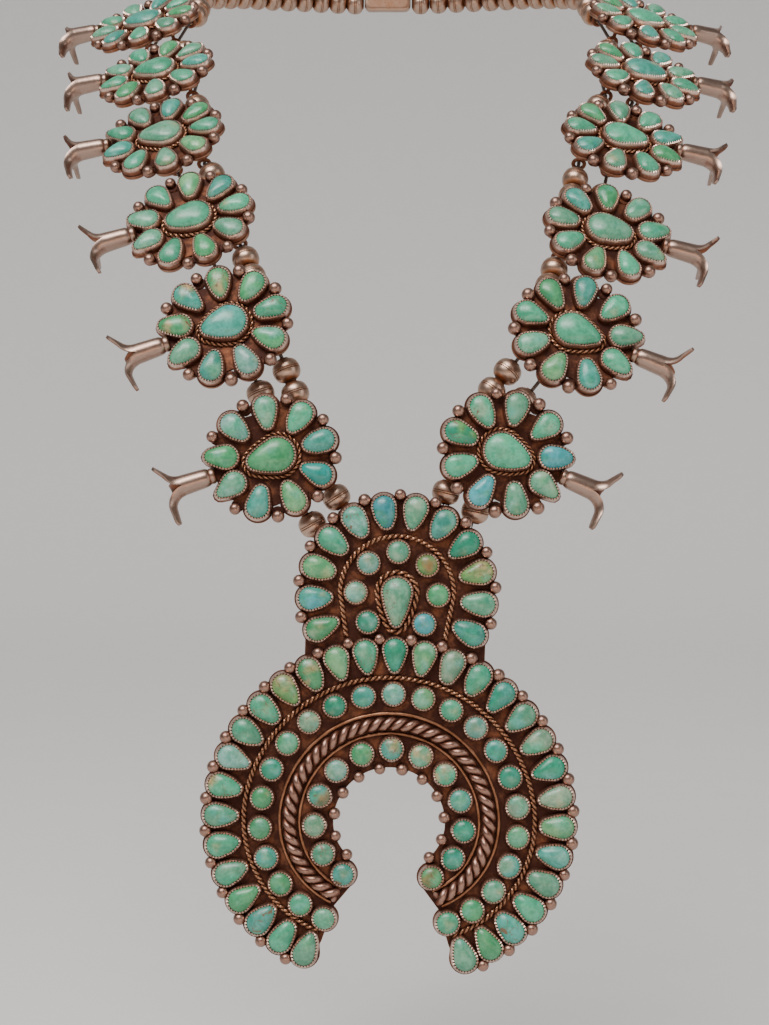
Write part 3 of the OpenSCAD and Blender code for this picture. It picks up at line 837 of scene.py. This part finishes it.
petal_seats = {}
centre_seats = {}
for (side, k), place in clusters.items():
    name = f"{side}_cluster_{k}"
    draw = Random(name)
    petals = petal_places(place)
    petal_seats[side, k] = [(p, cut_pear(draw)) for p in petals]
    centre_seats[side, k] = (place.on(0, 0, 180), cut_pear(draw, cluster_stone_size, 88))
    work = Work()
    plate(
        work, place,
        [round_outline(cluster_plate_d, 72).points + [u, 0] for u in (0, 3, -2.5)]
        + [flat_line(place, p, pear, bezel_out + margin) for p in petals]
        + [round_outline(lug_d, 20).points + on_ring(lug_ring, 40 * i) for i in range(1, 9)])
    work.piece(name + "_plate", ground, [name + "_setting"])
    work = Work()
    around_stone(work, *centre_seats[side, k])
    work.piece(name + "_twisted_wire", copper, [name + "_setting"])
    work = Work()
    for i in range(1, 9):
        ball(work, place, on_ring(ball_ring, 40 * i), ball_d * draw.uniform(1.1, 1.26))
    work.piece(name + "_balls", dusky, [name + "_setting"])
    work = Work()
    for u in loop_u.values():
        for v in loop_v:
            back_loop(work, place.on(u, v), cluster_loop_r)
    work.piece(name + "_loops", silver, [name + "_setting"])
    work = Work()
    for p, line in petal_seats[side, k]:
        bezel(work, p, line)
    bezel(work, *centre_seats[side, k], cluster_bezel_h)
    work.piece(name + "_bezels", bright, [name + "_setting"])


# Squash blossoms. A tube of sheet silver, cut at its mouth into three petals that are bent
# back, with a small collar at its foot where it is soldered to the plate.
tube_base = 14.3
tube_mouth = 22.6
tube_n = 1.2
tube_r = 2.6
sheet = 0.75
petal_tip = 1.05


def petal(work, place, around, root, flare, length, early, twist):
    """One petal, on the side of the tube that around gives, from +v towards +n.

    root is half its width at the tube. It bends out by flare degrees over the early share of its
    length, and its flat turns by twist.
    """
    steps = 24
    way = np.linspace(0, length, steps)
    bend = np.radians(flare) * np.clip(way / (early * length), 0, 1) ** 1.2
    step = np.diff(way, prepend=0)
    axial = tube_mouth + np.cumsum(np.cos(bend) * step)
    reach = tube_r + np.cumsum(np.sin(bend) * step)
    widths = [root, 0.35 * root + 1.6, 1.75, petal_tip]
    half = np.interp(way, [0, 0.2 * length, 0.55 * length, length], widths)
    round_end = np.clip((way - (length - petal_tip)) / petal_tip, 0, 0.985)
    half = half * np.sqrt(np.clip(1 - round_end ** 2, 0, 1))
    curve = np.interp(way, [0, 0.3 * length, length], [tube_r, 2.7, 3.2])
    turned = np.radians(twist) * np.clip(way / (0.5 * length), 0, 1)
    u = np.array([1.0, 0, 0])
    out = np.array([0, math.cos(math.radians(around)), math.sin(math.radians(around))])
    beside = np.cross(u, out)
    rows = []
    across = np.sin(np.linspace(-1, 1, 11) * np.pi / 2)
    # At each step the petal is an arc of sheet, from its outer skin across and back along its inner skin.
    for a, r, w, c, b, t in zip(axial, reach, half, curve, bend, turned):
        square = -math.sin(b) * u + math.cos(b) * out
        normal = square * math.cos(t) - beside * math.sin(t)
        cross = beside * math.cos(t) + square * math.sin(t)
        line = []
        for skin, order in ((0.0, across), (sheet, across[::-1])):
            for s in order:
                angle = s * w / c
                level = normal * math.cos(angle) + cross * math.sin(angle)
                line.append(a * u + r * out - c * normal + (c - skin) * level)
        rows.append(line)
    edge = np.tile(np.concatenate([0.75 + 0.35 * abs(across), 0.15 + 0.45 * abs(across)]), (steps, 1))
    work.skin(np.array(rows) + [0, 0, tube_n], edge, place)


# The tube from its collar out to the mouth and back inside: u, radius and mark.
tube_profile = [
    (tube_base, 1.3, 0.3), (tube_base + 0.2, 1.8, 0.6),
    (tube_base + 0.7, 2.0, 0.9), (tube_base + 1.2, 1.95, 0.8),
    (tube_base + 1.45, 1.85, 0.5), (tube_base + 1.8, 2.1, 0.85),
    (tube_base + 2.4, 2.3, 0.95), (tube_base + 3.6, 2.4, 0.95), (tube_base + 5, 2.45, 0.95),
    (tube_mouth, tube_r, 0.95),
    (tube_mouth, tube_r - sheet, 0.4), (tube_base + 5, 2.45 - sheet, 0.0), (tube_base + 3, 0.4, 0.0)]
for (side, k), place in clusters.items():
    name = f"{side}_cluster_{k}"
    draw = Random(name + "_blossom")
    work = Work()
    angle = np.arange(32) * 2 * np.pi / 32
    rows = [[(u, r * math.cos(a), tube_n + r * math.sin(a)) for a in angle] for u, r, _ in tube_profile]
    work.skin(rows, [mark for _, _, mark in tube_profile], place)
    # The further a cluster leans back, the further apart its upper and lower petals stand.
    lean = cluster_rows[side][k - 1][3]
    up = 30 - 0.5 * lean + draw.uniform(-5, 5)
    down = 164 + 0.55 * lean + draw.uniform(-5, 5)
    root = tube_r * math.radians(down - up) / 2
    petal(work, place, up, root, 52 + draw.uniform(-5, 5), 7.2, 0.45, draw.uniform(-5, 12))
    petal(work, place, down, root, 94 + draw.uniform(-5, 7), 8.9, 0.55, draw.uniform(8, 30))
    petal(work, place, 272, 1.1 * tube_r, 80 + draw.uniform(-5, 5), 8.0, 0.5, 0)
    work.piece(name + "_blossom", silver, [name + "_setting"])


# Stones of the clusters: nine small pears and one large pear in the middle of each.
# Codes as above, in order round the middle from the stone above the blossom.
petal_codes = {
    "left": ["g pb m b a d l a m", "gr* ar* gr* gm b* gp p am m", "m b l a b m g b m",
             "b m a g b l m b a", "m b g m a b m g b", "b m a b g m b a m"],
    "right": ["s bm m bw* ty* b s m mw", "m b a g b m l a b", "b m g a m b l b m",
              "a b m g b a m b g", "m a b g m b a m b", "b m a g m b a b m"]}
centre_codes = {"left": ["g", "as", "b", "m", "b", "a"], "right": ["bm", "b", "m", "b", "a", "b"]}
cluster_rise = (2.1, 4.2)
cluster_tone = 0.97
for number, (side, k) in enumerate(clusters):
    name = f"{side}_cluster_{k}"
    petals = petal_codes[side][k - 1]
    centre = centre_codes[side][k - 1]
    stones(name + "_petals", petal_seats[side, k], *pear_rise, petals, 20 + number, cluster_tone)
    stones(name + "_stone", [centre_seats[side, k]], *cluster_rise, centre, 40 + number, cluster_tone)


# Beads between the settings. Hollow silver beads of two domed halves, soldered at the
# middle, with a small collar at each hole. They fill the gaps that the threads cross.
bead_d = 7.1
bead_l = 6.1
# From the seam to the hole: shares of half its length and of its radius, and the mark.
bead_half = [
    (0.05, 0.995, 0.85), (0.075, 0.955, 0.0), (0.12, 0.985, 0.8), (0.28, 0.975, 1.0), (0.52, 0.905, 0.95),
    (0.74, 0.76, 0.75), (0.88, 0.56, 0.35), (0.93, 0.46, 0.1), (1.0, 0.42, 0.2), (1.0, 0.24, 0.0)]
bead_profile = [(-x, r, mark) for x, r, mark in bead_half[::-1]] + bead_half
world = Place(np.eye(3), -nape)
bead_silver = aged_silver(
    "bead_silver", (0.04, 0.010, 0.004), (0.32, 0.13, 0.055), (0.47, 0.325, 0.25), 0.35)


def bead(work, middle, way, columns=26):
    axis = way / np.linalg.norm(way)
    side = np.cross(axis, [0.31, 0.2, 0.93])
    side /= np.linalg.norm(side)
    over = np.cross(axis, side)
    angle = np.arange(columns) * 2 * np.pi / columns
    ring = side * np.cos(angle)[:, None] + over * np.sin(angle)[:, None]
    rows = [middle + axis * x * bead_l / 2 + ring * r * bead_d / 2 for x, r, _ in bead_profile]
    work.skin(rows, [mark for _, _, mark in bead_profile], world, closed=True)


def eyes(side, row):
    """The points that a thread passes on one side, from the crown to the last cluster."""
    number = 0 if row == "inner" else 1
    u, v, _ = crown_loops[number]
    sign = -1 if side == "left" else 1
    points = [pendant.at([sign * u, v, loop_n])]
    for k in range(1, 7):
        points += [clusters[side, k].at([loop_u[row], v, loop_n]) for v in loop_v]
    return np.array(points) + nape


bead_pitch = bead_l + 0.2
for side in ("left", "right"):
    inner = eyes(side, "inner")
    for row in ("inner", "outer"):
        work = Work()
        line = eyes(side, row)
        for k in range(0, 12, 2):
            a, d = line[k], line[k + 1] - line[k]
            share = ((inner[k] + inner[k + 1]) / 2 - a) @ d / (d @ d)
            for j in (-0.5, 0.5) if row == "inner" else (0,):
                bead(work, a + d * (share + j * bead_pitch / np.linalg.norm(d)), d)
        work.piece(f"{side}_{row}_beads", bead_silver, [f"{side}_{row}_beads"])


# Back strands. The two rows of beads run on round the back, bead against bead, from the last
# cluster on each side to the clasp.
routes = {
    "inner": [(62.5, 124.5, 164.5), (59, 137, 171.5), (53, 149, 177), (44.5, 160, 181.3), (34, 169, 184),
              (22, 176.5, 185.3), (13.5, 180.4, 185.5), (8.4, 181.6, 185.5)],
    "outer": [(70.3, 127.5, 161.5), (66.6, 141.5, 167), (60, 154.5, 171.5), (50, 166, 175), (38, 175, 177),
              (25, 180.5, 178), (13.5, 182.4, 178), (8.4, 182.6, 178)]}


def smooth(points, steps):
    """A Catmull-Rom way through the points."""
    p = np.concatenate([points[:1], points, points[-1:]])
    t = np.arange(steps)[:, None] / steps
    parts = []
    for a, b, c, d in zip(p, p[1:], p[2:], p[3:]):
        square = (2 * a - 5 * b + 4 * c - d) * t ** 2
        cube = (3 * b - a - 3 * c + d) * t ** 3
        parts.append((2 * b + (c - a) * t + square + cube) / 2)
    return np.concatenate(parts + [points[-1:]])


back_pitch = 6.15
for side in ("left", "right"):
    for row in ("inner", "outer"):
        last = clusters[side, 6]
        leave = [(loop_v[1] + 2.9, loop_n), (loop_v[1] + 10.5, loop_n - 0.9)]
        start = [last.at([loop_u[row], v, n]) + nape for v, n in leave]
        mirror = np.array([-1 if side == "left" else 1, 1, 1])
        way = smooth(np.array(start + [mirror * p for p in routes[row]]), 12)
        whole = length_of(way)
        count = round(whole / back_pitch)
        steps = evenly(way, 2 * count + 1)
        work = Work()
        for i in range(count):
            bead(work, steps[2 * i + 1], steps[2 * i + 2] - steps[2 * i], columns=22)
        work.piece(f"{side}_{row}_back_beads", bead_silver, [f"{side}_{row}_back_strand"])


# Threads. Two lengths of fine stringing cable, dull grey-brown, from the last cluster on one
# side to the last on the other. They show only between beads and behind the settings.
def cable_finish():
    made = Finish("stringing_cable")
    lay = made.node("TexWave", {"bands_direction": "DIAGONAL"}, {
        "Vector": made.place(), "Scale": 900, "Distortion": 0.5, "Detail": 1})
    colour = made.blend(lay, (0.05, 0.035, 0.028, 1), (0.27, 0.21, 0.18, 1))
    return made.surface(base_color=colour, metallic=0.8, roughness=0.45, normal=made.bump(lay, 0.0001, 0.6))


cable = cable_finish()
for name in ("inner_thread", "outer_thread"):
    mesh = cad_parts[name].data
    mesh.materials.clear()
    mesh.materials.append(cable)


# Clasp. One plain bar of silver at the nape with rounded corners and edges, that both rows
# of beads run into from either side.
clasp_size = (16, 3.6, 13)
work = Work()
corner = 2.0
quarter = np.linspace(0, np.pi / 2, 7)
line = []
for i, (sx, sz) in enumerate([(1, 1), (-1, 1), (-1, -1), (1, -1)]):
    for a in quarter + i * np.pi / 2:
        line.append(((clasp_size[0] / 2 - corner) * sx + corner * math.cos(a),
                     (clasp_size[2] / 2 - corner) * sz + corner * math.sin(a)))
line = np.array(line)
rows = []
marks = []
depth = clasp_size[1] / 2
# From the middle of its thickness to its face: share of the depth, the edge's draw in, and the mark.
clasp_half = [(0.35, 0.0, 0.85), (0.7, 0.06, 1.0), (0.92, 0.3, 1.0), (1, 0.7, 0.8), (1, 1.6, 0.7)]
for y, shrink, mark in [(-y, shrink, mark) for y, shrink, mark in clasp_half[::-1]] + clasp_half:
    ring = line - shrink * line / np.linalg.norm(line, axis=1)[:, None]
    rows.append(np.column_stack([ring[:, 0], np.full(len(ring), y * depth), ring[:, 1]]))
    marks.append(mark)
work.skin(rows, marks, Place(np.eye(3), (0, 0, 0)))
work.piece("clasp_bar", bead_silver, ["clasp"])


# Floor, lights and camera. The necklace hangs over a plain pale floor that sweeps up behind
# it in one soft curve, in even, soft studio light from the upper left.
floor_finish = Finish("pale_floor")
floor_z = cad_box[0].z - 0.05
sweep_y = 1.6
sweep_r = 1.2
reach = 6.0
sweep = [(-reach, 0.0), (0.0, 0.0)]
for a in np.radians(np.arange(0, 91, 6)):
    sweep.append((sweep_y + sweep_r * math.sin(a), sweep_r * (1 - math.cos(a))))
sweep.append((sweep_y + sweep_r, reach))
floor = bpy.data.objects.new("floor", bpy.data.meshes.new("floor"))
points = [(x, y, floor_z + z) for x in (-7, 7) for y, z in sweep]
half = len(sweep)
floor.data.from_pydata(points, [], [(i, i + half, i + half + 1, i + 1) for i in range(half - 1)])
floor.data.polygons.foreach_set("use_smooth", [True] * (half - 1))
pale = floor_finish.blend(floor_finish.noise(40, 3), (0.85, 0.84, 0.83, 1), (0.88, 0.87, 0.86, 1))
floor.data.materials.append(floor_finish.surface(base_color=pale, roughness=0.85))
bpy.context.scene.collection.objects.link(floor)


def lamp(name, kind, where, aim, power, colour, size):
    """A lamp at a place in metres. Size is an area's two sides, or the angle of a sun."""
    light = bpy.data.lights.new(name, kind)
    if kind == "AREA":
        light.shape = "RECTANGLE"
        light.size, light.size_y = size
    else:
        light.angle = size[0]
    light.energy = power
    light.color = colour
    made = bpy.data.objects.new(name, light)
    made.location = where
    made.rotation_euler = (Vector(aim) - Vector(where)).to_track_quat("-Z", "Y").to_euler()
    bpy.context.scene.collection.objects.link(made)


middle = (0, -0.12, -0.16)
lamp("sky", "SUN", (-0.5, -1.0, 1.3), middle, 1.5, (1.0, 0.98, 0.96), (math.radians(50),))
lamp("key", "AREA", (-0.25, -0.75, 0.62), middle, 7, (1.0, 0.96, 0.92), (0.7, 0.3))
lamp("fill", "AREA", (0.75, -0.6, 0.05), middle, 1.2, (1.0, 0.97, 0.95), (0.3, 0.6))
lamp("low", "AREA", (0.1, -0.85, -0.32), (0, -0.12, -0.12), 0.8, (1.0, 0.62, 0.38), (0.7, 0.12))

world_light = bpy.data.worlds.new("studio")
world_light.use_nodes = True
background = world_light.node_tree.nodes["Background"]
background.inputs["Color"].default_value = (0.80, 0.79, 0.78, 1)
background.inputs["Strength"].default_value = 0.26
bpy.context.scene.world = world_light

image_height = 1025
focal_pixels = 1721
eye = bpy.data.cameras.new("camera")
eye.sensor_fit = "VERTICAL"
eye.angle_y = 2 * math.atan(image_height / 2 / focal_pixels)
camera = bpy.data.objects.new("camera", eye)
eye_place = np.array([-1.1, -420.0, 0.0])
camera.location = (eye_place - nape) / 1000
camera.rotation_euler = (math.pi / 2, 0, 0)
bpy.context.scene.collection.objects.link(camera)
bpy.context.scene.camera = camera
